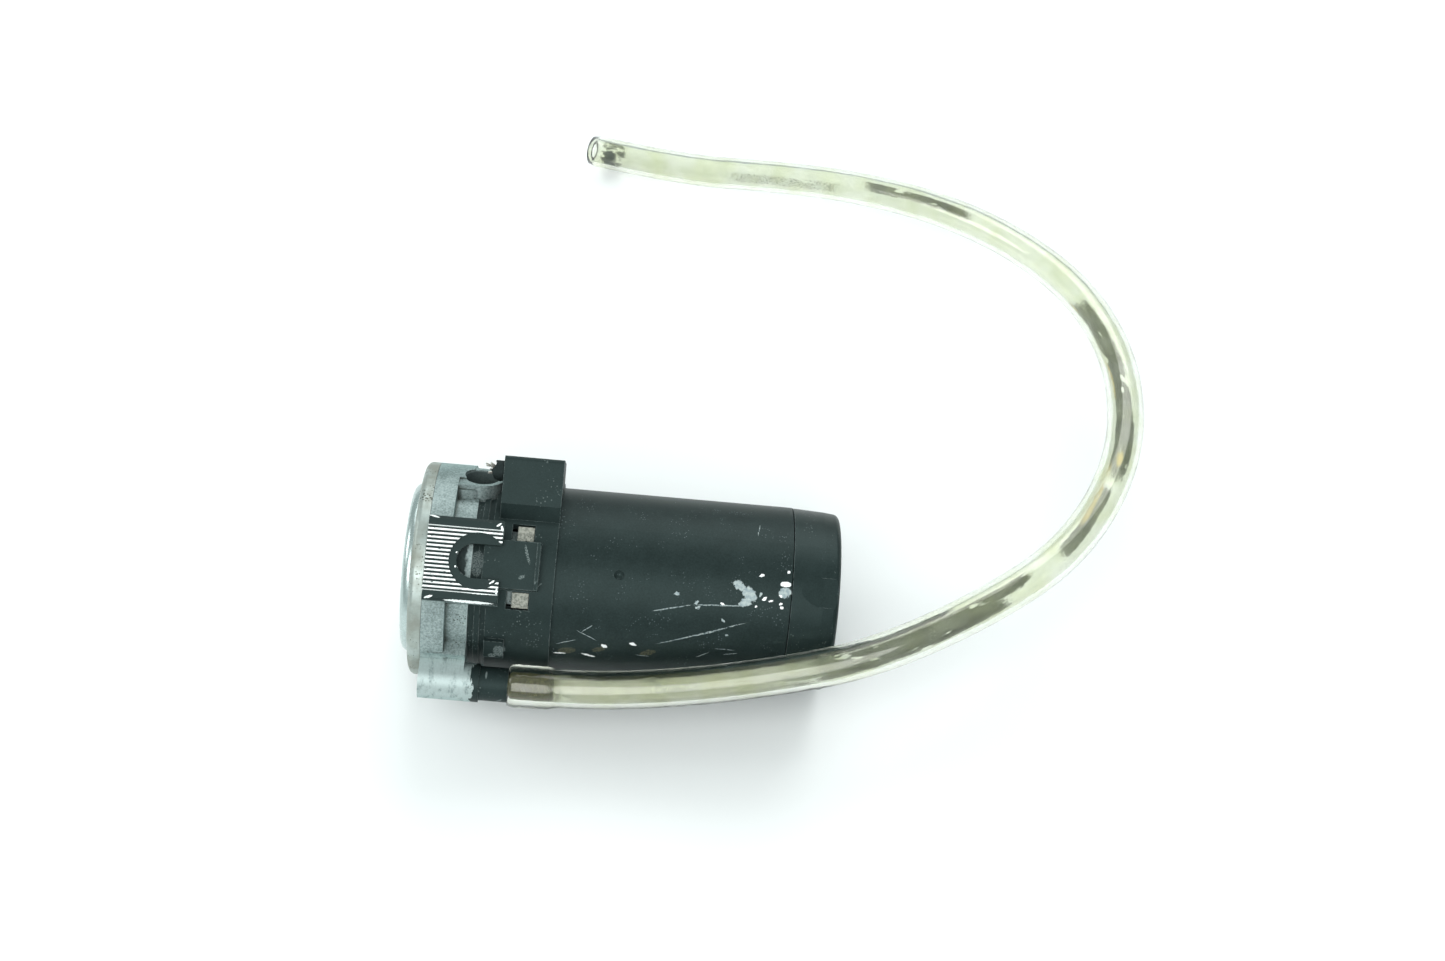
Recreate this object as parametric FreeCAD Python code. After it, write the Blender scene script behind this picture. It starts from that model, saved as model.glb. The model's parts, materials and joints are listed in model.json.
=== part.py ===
import FreeCAD, Part
import math
import os

V = FreeCAD.Vector
origin = V(0, 0, 0)
shaft_way = V(1, 0, 0)

# Driving dimensions, in mm.
# The compressor is modelled along its shaft: X runs from the face of the front cover to the
# tail, a turn is an angle round the shaft in degrees (0 faces -Y, 90 is the top) and a reach
# is a distance out from the shaft's axis.
tail_pitch = 5.25          # the tail lies lower than the head
rest_shift = V(-61.64, 4.26, 36.98)

cover_r = 24.6
rim_r = 31.0
rim_end = 13.3             # rear face of the casting's rim band
waist_r = 27.0
waist_end = 19.5
spigot_r = 24.0
spigot_end = 27.0

chamber_r = 20.0
chamber_x = (6.5, 18.5)
chamber_offset = 2.5       # the bore lies off the shaft, towards chamber_turn
chamber_turn = -126.0
rotor_r = 17.3
vane_turns = [chamber_turn + 45 + 90 * k for k in range(4)]
vane_t = 2.4

pad_turns = (60.0, 244.0)
pad_x = (7.1, 27.9)
pad_half = 11.8
pad_r = 33.0
ridge_count = 15
ridge_pitch = 1.15
ridge_h = 0.6
slot_x = 20.5              # centre of the slot's round end
slot_half = 4.85
pocket_half = 6.95
pocket_r = (26.3, 30.8)
spot_r = 8.0

port_turn = 118.5
port_x = 19.6
port_r = 5.0
port_reach = 30.3

outlet_turn = -10.5
outlet_reach = 34.6
outlet_r = 5.5
outlet_x = (6.9, 24.0)

collar_r = 28.0
collar_end = 43.0
window_x = (30.0, 36.4)
window_turns = [pad + side for pad in pad_turns for side in (-20.2, 20.2)]
box_x = (26.1, 43.0)
box_turn = 145.0
lead_reach = 28.9
lead_across = -22.5
lead_r = 2.3

can_r = 26.75
can_wall = 1.5
can_x = (38.0, 109.7)       # stops short of the cap, which leaves a seam
cap_end = 123.7
shaft_r = 3.0
core_r = 18.9
brush_turns = (62.0, 242.0)
bolt_turns = (150.0, 330.0)
bolt_reach = 21.3
magnet_turns = (60.0, 240.0)

hose_r = 5.5
hose_bore = 4.0
cuff_r = 6.2
cuff_len = 12.0
nipple_end = 32.3

# Route of the hose from the nipple to its free end, in mm in the part's own frame.
hose_route = [
    (-30.05, -29.76, 27.75),
    (-12.13, -29.76, 26.10),
    (14.0, -30.0, 28.7),
    (43.5, -29.0, 34.7),
    (72.0, -25.0, 39.7),
    (104.0, -9.6, 43.5),
    (131.0, 11.0, 46.0),
    (148.0, 43.5, 46.6),
    (151.5, 79.0, 45.0),
    (144.0, 113.0, 40.5),
    (127.0, 141.5, 35.2),
    (101.5, 166.5, 28.6),
    (71.5, 184.5, 21.5),
    (40.5, 196.0, 14.9),
    (6.0, 204.0, 9.4),
    (-26.0, 216.5, 6.1),
]


# Solids placed round the shaft

def point(x, reach, turn, across=0.0):
    """The point at a station, a reach and a turn, moved sideways towards a larger turn."""
    a = math.radians(turn)
    y = -reach * math.cos(a) + across * math.sin(a)
    z = reach * math.sin(a) + across * math.cos(a)
    return V(x, y, z)


def turned_to(shape, turn):
    """A shape built on top of the shaft, swung round it to a turn."""
    placed = shape.copy()
    placed.rotate(origin, shaft_way, 90 - turn)
    return placed


def rod(x0, x1, r, reach=0.0, turn=0.0):
    """A round bar parallel to the shaft."""
    return Part.makeCylinder(r, x1 - x0, point(x0, reach, turn), shaft_way)


def tube(x0, x1, outer, inner, reach=0.0, turn=0.0):
    """A round pipe parallel to the shaft."""
    return rod(x0, x1, outer, reach, turn).cut(rod(x0, x1, inner, reach, turn))


def block(x0, x1, across, reaches, turn):
    """A box whose sides run along the shaft, across it and out from it."""
    size = (x1 - x0, across[1] - across[0], reaches[1] - reaches[0])
    return turned_to(Part.makeBox(*size, V(x0, across[0], reaches[0])), turn)


def spoke(x, reaches, r, turn, across=0.0):
    """A round bar that points straight out from the shaft."""
    bar = Part.makeCylinder(r, reaches[1] - reaches[0], V(x, across, reaches[0]), V(0, 0, 1))
    return turned_to(bar, turn)


def sector(x0, x1, outer, inner, turn, sweep):
    """A slice of pipe, centred on a turn."""
    pie = Part.makeCylinder(outer, x1 - x0, V(x0, 0, 0), shaft_way, sweep)
    pie.rotate(origin, shaft_way, 90 - turn - sweep / 2)
    return pie.cut(rod(x0, x1, inner))


def lathe(outline):
    """A solid of revolution about the shaft, from (station, reach) corners."""
    corners = [V(x, 0, r) for x, r in outline]
    face = Part.Face(Part.makePolygon(corners + corners[:1]))
    return face.revolve(origin, shaft_way, 360)


def rim_edges(shape, x, r):
    """The round edges of a shape at a station and a radius about the shaft."""
    found = []
    for edge in shape.Edges:
        curve = edge.Curve
        if isinstance(curve, Part.Circle) and abs(curve.Radius - r) < 0.01:
            if abs(curve.Center.x - x) < 0.01 and math.hypot(curve.Center.y, curve.Center.z) < 0.01:
                found.append(edge)
    return found


def rounded(shape, radius, *rims):
    """The shape with the rims at the given (station, radius) pairs rounded over."""
    edges = []
    for x, r in rims:
        edges += rim_edges(shape, x, r)
    return shape.makeFillet(radius, edges)


def prism(x0, x1, corners):
    """A bar along the shaft, from corners given as (reach, across) seen at the top."""
    points = [V(x0, across, reach) for reach, across in corners]
    face = Part.Face(Part.makePolygon(points + points[:1]))
    return face.extrude(V(x1 - x0, 0, 0))


def joined(first, *others):
    return first.multiFuse(list(others)).removeSplitter()


# Pump head

def front_cover():
    """Pressed steel cover: a shallow dome, a flange and a skirt that grips the casting's rim."""
    skirt_end = 6.8
    outer = lathe([(0, 0), (0, cover_r), (2.9, cover_r), (2.9, rim_r),
                   (skirt_end, rim_r), (skirt_end, 0)])
    outer = rounded(outer, 2.2, (0, cover_r))
    outer = rounded(outer, 1.6, (2.9, rim_r))
    outer = rounded(outer, 0.6, (2.9, cover_r))
    inner = lathe([(1.0, 0), (1.0, 23.4), (3.9, 23.4), (3.9, 29.9),
                   (skirt_end, 29.9), (skirt_end, 0)])
    return outer.cut(inner)


def cover_gasket():
    return tube(3.95, 4.5, 29.7, 24.2)


def wear_plate():
    """Flat plate that closes the pump chamber, with the intake and delivery windows."""
    plate = rod(4.5, 6.5, 29.7)
    for turn, sweep in ((port_turn, 50), (outlet_turn, 34)):
        plate = plate.cut(sector(4.5, 6.5, 16.5, 12.0, turn, sweep))
    return plate.cut(rod(4.5, 6.5, shaft_r + 0.5))


def pad_with_ridges():
    """Mounting pad with ridges along the shaft, an open T-slot and a spot-face round its end."""
    valley = pad_r - ridge_h
    root = 26.0
    ledge, chamfer = 9.0, 0.8
    half_profile = [(root, pad_half), (pad_r - chamfer, pad_half), (pad_r, pad_half - chamfer),
                    (pad_r, ledge), (valley, ledge - 0.3)]
    mirrored = [(reach, -across) for reach, across in reversed(half_profile)]
    pad = prism(*pad_x, half_profile + mirrored)
    crest_half, foot_half = 0.2, 0.42
    ridges = []
    for k in range(ridge_count):
        mid = (k - (ridge_count - 1) / 2) * ridge_pitch
        ridges.append(prism(*pad_x, [(valley - 0.1, mid - foot_half), (pad_r, mid - crest_half),
                                     (pad_r, mid + crest_half), (valley - 0.1, mid + foot_half)]))
    pad = pad.multiFuse(ridges)
    spot = Part.makeCylinder(spot_r, 2, V(slot_x + 1.0, 0, valley - 0.05), V(0, 0, 1))
    under_overhang = Part.makeBox(12, 2 * pad_half + 2, 2.4, V(waist_end, -pad_half - 1, 25.9))
    return pad.cut(spot).cut(under_overhang)


def slot_space(half, floor, top):
    """The T-slot's neck or pocket: a round end that runs out at the tail side of the pad."""
    end = Part.makeCylinder(half, top - floor, V(slot_x, 0, floor), V(0, 0, 1))
    run = Part.makeBox(12, 2 * half, top - floor, V(slot_x, -half, floor))
    return end.fuse(run)


def port_boss():
    """Flat-faced boss that carries the intake port."""
    round_end = spoke(port_x, (20, port_reach), 6.3, port_turn)
    heel = block(rim_end - 1, port_x, (-6.3, 6.3), (20, port_reach), port_turn)
    cheek = spoke(port_x - 4.2, (20, port_reach - 1.4), 7.2, port_turn)
    return joined(round_end, heel, cheek)


def outlet_boss():
    """Barrel parallel to the shaft that carries the delivery nipple, on a web."""
    barrel = rod(*outlet_x, outlet_r, outlet_reach, outlet_turn)
    web = block(outlet_x[0], waist_end, (-outlet_r, outlet_r), (20, outlet_reach), outlet_turn)
    shoulder = block(outlet_x[0] + 2, waist_end, (-3, 8.5), (20, 30.2), outlet_turn)
    return joined(barrel, web, shoulder)


def foot_lug():
    """Plain cast lug under the head that it rests on beside the lower pad."""
    return block(13.0, 26.0, (-4, 4), (20, 36.42), -65)


def snap_arms():
    """Cast arms with hooked ends that hold the collar, two beside each pad."""
    arms = []
    for turn in window_turns:
        arms.append(block(spigot_end - 2, 36.2, (-2.2, 2.2), (21.8, 23.8), turn))
        arms.append(block(31.6, 36.2, (-2.2, 2.2), (23.6, 27.3), turn))
    return arms


def pump_housing():
    """Die-cast pump body with its off-centre chamber, pads, ports and the motor spigot."""
    body = rod(chamber_x[0], rim_end, 29.7)
    body = body.fuse(rod(6.9, rim_end, rim_r))
    body = body.fuse(rod(rim_end, waist_end, waist_r))
    body = body.fuse(rod(waist_end, spigot_end, spigot_r))
    pads = [turned_to(pad_with_ridges(), turn) for turn in pad_turns]
    crown = sector(rim_end - 1, 17.0, rim_r, 20, 136, 44)
    body = joined(body, *pads, crown, port_boss(), outlet_boss(), foot_lug(), *snap_arms())
    for turn in pad_turns:
        body = body.cut(turned_to(slot_space(pocket_half, *pocket_r), turn))
        body = body.cut(turned_to(slot_space(slot_half, pocket_r[1] - 0.1, pad_r + 1), turn))
    body = body.cut(rod(*chamber_x, chamber_r, chamber_offset, chamber_turn))
    body = body.cut(rod(chamber_x[1], spigot_end, 6.0))
    body = body.cut(spoke(port_x, (24.5, 40), port_r, port_turn))
    body = body.cut(spoke(port_x, (22.6, 25), 4.4, port_turn))
    body = body.cut(spoke(15.5, (15, 24), 2.5, port_turn))
    body = body.cut(rod(11.0, outlet_x[1], 3.0, outlet_reach, outlet_turn))
    body = body.cut(spoke(12.6, (15, outlet_reach), 1.6, outlet_turn))
    for turn in bolt_turns:
        body = body.cut(rod(20.6, spigot_end, 2.0, bolt_reach, turn))
    return body


def pump_rotor():
    """Slotted rotor that carries the vanes."""
    rotor = rod(6.6, 18.4, rotor_r).cut(rod(6.6, 18.4, shaft_r))
    for turn in vane_turns:
        rotor = rotor.cut(block(6.6, 18.4, (-1.25, 1.25), (8.0, 20), turn))
    return rotor.cut(spoke(12.5, (-7, 7), 1.0, chamber_turn))


def vane(turn):
    blade = block(6.65, 18.35, (-vane_t / 2, vane_t / 2), (8.2, 17.15), turn)
    tips = [e for e in blade.Edges if e.CenterOfMass.distanceToPoint(point(12.5, 17.15, turn)) < 1.3]
    tips = [e for e in tips if abs(e.Length - 11.7) < 0.01]
    return blade.makeFillet(0.9, tips)


def drive_pin():
    """Cross pin that keys the rotor to the shaft."""
    return spoke(12.5, (-6.8, 6.8), 1.0, chamber_turn)


def shaft_seal():
    return tube(18.6, 22.0, 6.0, shaft_r + 0.02)


def inlet_filter():
    """Felt disc pressed into the bottom of the intake port."""
    return spoke(port_x, (22.7, 24.4), 4.35, port_turn)


def outlet_nipple():
    """Black stub pressed into the outlet boss, with a barbed tail that the hose grips."""
    stem = rod(13.0, outlet_x[1], 3.0, outlet_reach, outlet_turn)
    stub = rod(outlet_x[1], nipple_end, 4.9, outlet_reach, outlet_turn)
    tail = rod(nipple_end, nipple_end + 9.5, 3.5, outlet_reach, outlet_turn)
    barbs = []
    for x in (nipple_end + 1.2, nipple_end + 4.0, nipple_end + 6.8):
        base = point(x, outlet_reach, outlet_turn)
        barbs.append(Part.makeCone(3.95, 3.4, 2.4, base, shaft_way))
    nipple = joined(stem, stub, tail, *barbs)
    return nipple.cut(rod(13.0, nipple_end + 9.5, 2.0, outlet_reach, outlet_turn))


# Collar between the pump and the motor

def tongue():
    """Flat tongue that closes the pocket of a pad's T-slot from below."""
    plate = Part.makeBox(38.6 - 22.9, 13.5, 3.6, V(22.9, -6.75, 26.9))
    ledge = Part.makeBox(1.0, 13.5, 4.2, V(37.6, -6.75, 26.9))
    return plate.fuse(ledge)


def terminal_box():
    """Housing for the supply terminals on the collar's far side."""
    corners = [(14, 22.5), (19.8, 25.6), (33.3, 25.6), (33.3, 8.0), (24.5, 4.5), (14, 6.0)]
    profile = prism(*box_x, [(reach, -across) for reach, across in corners])
    outer = [e for e in profile.Edges if abs(e.Length - (box_x[1] - box_x[0])) < 0.01
             and e.CenterOfMass.z > 33]
    shell = profile.makeFillet(1.2, outer)
    wall = 1.8
    hollow = prism(box_x[0] + wall, box_x[1] - wall,
                   [(25.4, -22.5), (31.2, -22.5), (31.2, -10.5), (25.4, -9)])
    return turned_to(shell, box_turn), turned_to(hollow, box_turn)


def collar():
    """Moulded collar that joins the pump casting to the motor and carries the terminals."""
    body = lathe([(waist_end + 0.1, 0), (waist_end + 0.1, 26.4), (21.3, 26.4), (21.3, 27.1), (22.9, 27.1),
                  (22.9, 26.6), (24.5, 26.6), (24.5, collar_r), (collar_end, collar_r), (collar_end, 0)])
    shell, hollow = terminal_box()
    tongues = [turned_to(tongue(), turn) for turn in pad_turns]
    scraped_lug = block(24.5, 30.2, (-3.4, 3.4), (26, 29.0), 7)
    body = joined(body, shell, *tongues, scraped_lug)
    body = body.cut(hollow)
    body = body.cut(rod(waist_end, spigot_end + 0.2, spigot_r + 0.1))
    body = body.cut(rod(spigot_end, can_x[0], 25.4))
    body = body.cut(rod(can_x[0], collar_end, can_r))
    for turn in window_turns:
        body = body.cut(sector(*window_x, 31, 24, turn, 10.6))
    body = body.cut(spoke(port_x, (20, 45), 6.7, port_turn))
    body = body.cut(block(19, port_x, (-6.7, 6.7), (20, 45), port_turn))
    body = body.cut(block(waist_end, 26.4, (-4.4, 4.4), (20, 40), -65))
    body = body.cut(block(31, 33, (-1.6, 1.6), (20, 27), 138))
    return body.cut(lead_hole())


def lead_line(x0, x1, r):
    """A round bar along the line on which the supply lead enters the terminal box."""
    return Part.makeCylinder(r, x1 - x0, point(x0, lead_reach, box_turn, lead_across), shaft_way)


def lead_hole():
    return lead_line(box_x[0] - 1, box_x[0] + 2, lead_r)


def lead_stub():
    """Rubber sleeve of the supply lead, broken off short, with its bared conductors."""
    sleeve = lead_line(box_x[0] - 3.6, box_x[0] + 1.8, lead_r)
    torn = Part.makeBox(6, 12, 6, V(box_x[0] - 7.2, -6, -3))
    torn.rotate(origin, V(0, 0, 1), 24)
    torn.translate(point(0, lead_reach, box_turn, lead_across) + V(-2, 8, 2.6))
    strands = []
    for across, rise, reach in ((-1.0, -0.3, 4.9), (0.5, 0.9, 6.0), (1.0, -0.8, 4.4)):
        base = point(box_x[0] - reach, lead_reach + rise, box_turn, lead_across + across)
        strands.append(Part.makeCylinder(0.55, reach - 3.0, base, shaft_way))
    return joined(sleeve.cut(torn), *strands)


def terminal_blades():
    """Two flat blades inside the terminal box."""
    blades = []
    for across in (-19.5, -14.0):
        blade = Part.makeBox(9.5, 0.8, 4.6, V(29.5, across, 25.8))
        blades.append(turned_to(blade, box_turn))
    return Part.makeCompound(blades)


# Motor

def motor_can():
    """Deep-drawn steel can with a closed tail that seats the rear bearing."""
    tail_r = 25.0
    outer = lathe([(can_x[0], 0), (can_x[0], can_r), (can_x[1], can_r), (can_x[1], tail_r),
                   (117.0, tail_r), (117.0, 9.0), (120.6, 9.0), (120.6, 0)])
    outer = rounded(outer, 2.0, (117.0, tail_r))
    inner = lathe([(can_x[0], 0), (can_x[0], can_r - can_wall), (can_x[1] - 1.5, can_r - can_wall),
                   (can_x[1] - 1.5, tail_r - can_wall), (115.5, tail_r - can_wall), (115.5, 6.0),
                   (119.6, 6.0), (119.6, 0)])
    can = outer.cut(inner)
    for turn in magnet_turns:
        can = can.cut(Part.makeSphere(1.9, point(61.0, can_r + 1.2, turn)))
    for turn in bolt_turns:
        can = can.cut(rod(115.0, 117.5, 2.1, bolt_reach, turn))
    return can


def end_cap():
    """Moulded cap over the can's tail, tapering to a rounded end."""
    outer = lathe([(110.0, 0), (110.0, 26.6), (119.0, 26.2), (cap_end, 25.7), (cap_end, 0)])
    outer = rounded(outer, 1.8, (cap_end, 25.7))
    inner = lathe([(110.0, 0), (110.0, 25.1), (121.3, 25.1), (121.3, 0)])
    cap = outer.cut(inner)
    dent = Part.Face(Part.makePolygon([V(112.5, 0, 26.5), V(119.0, 0, 25.75), V(124.5, 0, 25.3),
                                       V(124.5, 0, 28.0), V(112.5, 0, 28.0), V(112.5, 0, 26.5)]))
    band = dent.extrude(V(0, 8.4, 0)).translated(V(0, -4.2, 0))
    ribs = [tube(120.7, 121.4, r, r - 1) for r in (9.0, 23.0)]
    return joined(cap.cut(turned_to(band, pad_turns[0])), *ribs)


def magnet(turn):
    return sector(52.0, 98.0, 25.2, 19.6, turn, 128)


def magnet_clips():
    """Two sprung strips that hold the magnets apart inside the can."""
    return Part.makeCompound([sector(54.0, 96.0, 25.2, 24.5, turn, 38) for turn in bolt_turns])


def motor_shaft():
    shaft = rod(7.0, 119.2, shaft_r)
    return shaft.cut(spoke(12.5, (-7, 7), 1.0, chamber_turn))


def armature_core():
    """Laminated core with eight winding slots."""
    core = rod(56.0, 94.0, core_r).cut(rod(56.0, 94.0, shaft_r))
    for k in range(8):
        core = core.cut(block(56.0, 94.0, (-1.2, 1.2), (16.0, 20), 45 * k))
        core = core.cut(rod(56.0, 94.0, 3.2, 12.6, 45 * k))
    return core


def armature_winding():
    """Copper coils: a bundle in each core slot and a turned head at both ends."""
    heads = [tube(48.5, 56.0, 16.4, shaft_r + 2.0), tube(94.0, 101.0, 16.4, shaft_r + 2.0)]
    heads[0] = rounded(heads[0], 2.4, (48.5, 16.4))
    heads[1] = rounded(heads[1], 2.4, (101.0, 16.4))
    bundles = [rod(56.0, 94.0, 3.0, 12.6, 45 * k) for k in range(8)]
    return joined(heads[0], heads[1], *bundles)


def commutator():
    """Ring of eight copper bars with gaps between them and a riser at the winding end."""
    ring = tube(29.0, 46.0, 8.5, shaft_r).fuse(tube(43.5, 46.0, 10.5, shaft_r))
    for k in range(8):
        ring = ring.cut(block(29.0, 46.0, (-0.3, 0.3), (7.4, 12), 45 * k + 22.5))
    return ring


def bearing(x0, x1):
    return tube(x0, x1, 6.0, shaft_r + 0.03)


def thrust_washers():
    return Part.makeCompound([tube(27.3, 28.2, 5.2, shaft_r), tube(102.0, 103.0, 5.2, shaft_r)])


def brush_plate():
    """Insulating plate in the can's mouth that carries the brush holders."""
    plate = tube(38.3, 40.3, 25.1, 11.2)
    for turn in bolt_turns:
        plate = plate.cut(rod(38.3, 40.3, 2.3, bolt_reach, turn))
    return plate


def brush_holder(turn):
    """Sheet-metal box that guides one brush."""
    outer = block(29.2, 38.3, (-4.1, 4.1), (9.6, 22.2), turn)
    inner = block(30.0, 37.4, (-3.3, 3.3), (9.0, 21.4), turn)
    return outer.cut(inner)


def brush(turn):
    face = rod(29, 39, 8.55)
    return block(30.1, 37.3, (-3.2, 3.2), (8.0, 15.6), turn).cut(face)


def brush_spring(turn):
    """Coil spring between a brush and the closed end of its holder, drawn as short arcs."""
    coil_r, wire_r, pitch, coils = 2.1, 0.25, 1.3, 4
    seat = V(33.7, 0, 15.9)

    def on_coil(quarters):
        a = quarters * math.pi / 2
        return seat + V(coil_r * math.cos(a), coil_r * math.sin(a), pitch * quarters / 4)

    arcs = [Part.Arc(on_coil(k), on_coil(k + 0.5), on_coil(k + 1)).toShape() for k in range(4 * coils)]
    along = arcs[0].tangentAt(arcs[0].FirstParameter)
    section = Part.Wire(Part.makeCircle(wire_r, on_coil(0), along))
    return turned_to(Part.Wire(arcs).makePipeShell([section], True, False), turn)


def through_bolts():
    """Two long bolts that clamp the can's tail to the pump casting."""
    bolts = []
    for turn in bolt_turns:
        shank = rod(21.0, 117.0, 2.0, bolt_reach, turn)
        head = rod(117.05, 120.0, 3.4, bolt_reach, turn)
        neck = rod(116.9, 117.1, 2.0, bolt_reach, turn)
        slot = Part.makeBox(1.0, 0.9, 8, V(119.2, -0.45, bolt_reach - 4))
        bolts.append(joined(shank, neck, head.cut(turned_to(slot, turn))))
    return Part.makeCompound(bolts)


# Hose

def bend(before, corner, after):
    """The tangent arc at a corner of the route: its ends, its middle and its radius."""
    into = corner - before
    out = after - corner
    turn = into.getAngle(out)
    reach = 0.45 * min(into.Length, out.Length)
    radius = reach / math.tan(turn / 2)
    into.normalize()
    out.normalize()
    start = corner - into * reach
    end = corner + out * reach
    inwards = (out - into).normalize()
    middle = corner + inwards * (radius / math.cos(turn / 2) - radius)
    return start, middle, end, radius, turn


def hose_path():
    """Straight runs joined by tangent arcs, with the length and the arcs' radii."""
    points = [V(*p) for p in hose_route]
    edges = []
    radii = []
    length = 0.0
    here = points[0]
    for before, corner, after in zip(points, points[1:], points[2:]):
        start, middle, end, radius, turn = bend(before, corner, after)
        edges.append(Part.LineSegment(here, start).toShape())
        edges.append(Part.Arc(start, middle, end).toShape())
        length += here.distanceToPoint(start) + radius * turn
        radii.append(radius)
        here = end
    edges.append(Part.LineSegment(here, points[-1]).toShape())
    length += here.distanceToPoint(points[-1])
    return Part.Wire(edges), length, radii


def swept(path, r):
    start = V(*hose_route[0])
    along = (V(*hose_route[1]) - start).normalize()
    ring = Part.Wire(Part.makeCircle(r, start, along))
    return path.makePipeShell([ring], True, False)


def hose():
    """Clear hose pushed over the nipple, where it is stretched into a cuff."""
    path, length, radii = hose_path()
    start = V(*hose_route[0])
    along = (V(*hose_route[1]) - start).normalize()
    cuff = Part.makeCylinder(cuff_r, cuff_len, start, along)
    cuff = cuff.makeFillet(0.5, [e for e in cuff.Edges if isinstance(e.Curve, Part.Circle)
                                 and e.CenterOfMass.distanceToPoint(start) > 1])
    wall = swept(path, hose_r).fuse(cuff).cut(swept(path, hose_bore))
    section = math.pi * (hose_r ** 2 - hose_bore ** 2)
    extra = math.pi * (cuff_r ** 2 - hose_r ** 2) * cuff_len
    print("hose length %.1f, arc radii %s" % (length, " ".join("%.0f" % r for r in radii)))
    print("hose volume %.0f, section x length %.0f" % (wall.Volume, section * length + extra))
    return wall


def laid_down(shape):
    """The compressor as it rests: the tail pitched down, the origin under its middle."""
    placed = shape.copy()
    placed.rotate(origin, V(0, 1, 0), tail_pitch)
    placed.translate(rest_shift)
    return placed


def compressor():
    """Every piece except the hose, in the frame of the shaft."""
    pieces = {
        "front_cover": front_cover(),
        "cover_gasket": cover_gasket(),
        "wear_plate": wear_plate(),
        "pump_housing": pump_housing(),
        "pump_rotor": pump_rotor(),
        "drive_pin": drive_pin(),
        "shaft_seal": shaft_seal(),
        "inlet_filter": inlet_filter(),
        "outlet_nipple": outlet_nipple(),
        "collar": collar(),
        "lead_stub": lead_stub(),
        "terminal_blades": terminal_blades(),
        "motor_can": motor_can(),
        "end_cap": end_cap(),
        "magnet_clips": magnet_clips(),
        "motor_shaft": motor_shaft(),
        "armature_core": armature_core(),
        "armature_winding": armature_winding(),
        "commutator": commutator(),
        "front_bearing": bearing(22.2, 27.0),
        "rear_bearing": bearing(115.0, 119.6),
        "thrust_washers": thrust_washers(),
        "brush_plate": brush_plate(),
        "through_bolts": through_bolts(),
    }
    for k, turn in enumerate(vane_turns):
        pieces["vane_%d" % (k + 1)] = vane(turn)
    for k, turn in enumerate(magnet_turns):
        pieces["magnet_%d" % (k + 1)] = magnet(turn)
    for k, turn in enumerate(brush_turns):
        pieces["brush_holder_%d" % (k + 1)] = brush_holder(turn)
        pieces["brush_%d" % (k + 1)] = brush(turn)
        pieces["brush_spring_%d" % (k + 1)] = brush_spring(turn)
    return pieces


os.makedirs("parts", exist_ok=True)
objects = {name: laid_down(shape) for name, shape in compressor().items()}
resting = Part.makeCompound(list(objects.values())).optimalBoundingBox(True, False)
print("resting box %.2f %.2f %.2f to %.2f %.2f %.2f" % (
    resting.XMin, resting.YMin, resting.ZMin, resting.XMax, resting.YMax, resting.ZMax))
objects["hose"] = hose()
for name, shape in objects.items():
    if not shape.isValid():
        print("not valid:", name)
    shape.exportStep("parts/%s.step" % name)
print("nodes", len(objects))
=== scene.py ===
import json
import math
import random
import bmesh
import bpy
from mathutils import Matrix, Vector


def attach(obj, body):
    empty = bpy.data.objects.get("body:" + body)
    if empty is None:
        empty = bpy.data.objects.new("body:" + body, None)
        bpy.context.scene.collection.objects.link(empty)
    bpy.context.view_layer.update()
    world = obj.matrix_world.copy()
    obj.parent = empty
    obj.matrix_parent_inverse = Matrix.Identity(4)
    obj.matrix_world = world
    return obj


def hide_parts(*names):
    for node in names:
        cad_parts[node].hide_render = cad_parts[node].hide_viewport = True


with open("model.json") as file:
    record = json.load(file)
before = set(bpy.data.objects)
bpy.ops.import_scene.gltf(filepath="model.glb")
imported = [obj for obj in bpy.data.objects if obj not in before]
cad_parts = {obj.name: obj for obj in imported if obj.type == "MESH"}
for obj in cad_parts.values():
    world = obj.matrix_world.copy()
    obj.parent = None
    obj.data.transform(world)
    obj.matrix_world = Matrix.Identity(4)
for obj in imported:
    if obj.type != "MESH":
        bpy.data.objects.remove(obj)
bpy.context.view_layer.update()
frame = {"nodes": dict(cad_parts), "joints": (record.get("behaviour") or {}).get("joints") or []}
nodes = frame["nodes"]
print("frame:", len(nodes), "CAD nodes")

# The shaft's own frame: stations run from the cover to the tail, a turn is the angle round it.
spin = next(joint for joint in frame["joints"] if joint["name"] == "rotor_spin")
along = Vector(spin["axis"]).normalized()
across = Vector((0, 1, 0))
rise = along.cross(across)
coverFace = Vector(spin["pos_m"]) - along * 0.060  # the joint's point is 60 mm along the shaft
canRadius = 26.75  # mm


def outwards(turn):
    a = math.radians(turn)
    return rise * math.sin(a) - across * math.cos(a)


def sideways(turn):
    a = math.radians(turn)
    return rise * math.cos(a) + across * math.sin(a)


def atShaft(station, reach, turn, side=0.0):  # in mm, gives metres in the part's frame
    return coverFace + (along * station + outwards(turn) * reach + sideways(turn) * side) * 0.001


view = {
    "cameraAt": (0.0438, -0.3531, 0.5331),
    "tilt": 38.4,
    "pan": 2.26,
    "lens": 52.3,
    "floorColour": (0.88, 0.90, 0.90, 1),
    "skyTop": (0.50, 0.56, 0.555, 1),
    "skyEdge": (0.50, 0.57, 0.565, 1),
}
studioLights = [  # name, place, aim, size, watts
    ("softboxFront", (-0.10, -0.78, 0.95), (0.0, 0.05, 0.0), 1.1, 10.0),
    ("softboxLeft", (-1.05, 0.10, 0.70), (-0.03, 0.0, 0.03), 0.6, 3.0),
    ("softboxBack", (0.25, 0.90, 1.00), (0.02, 0.08, 0.02), 1.1, 8.0),
]


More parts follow.
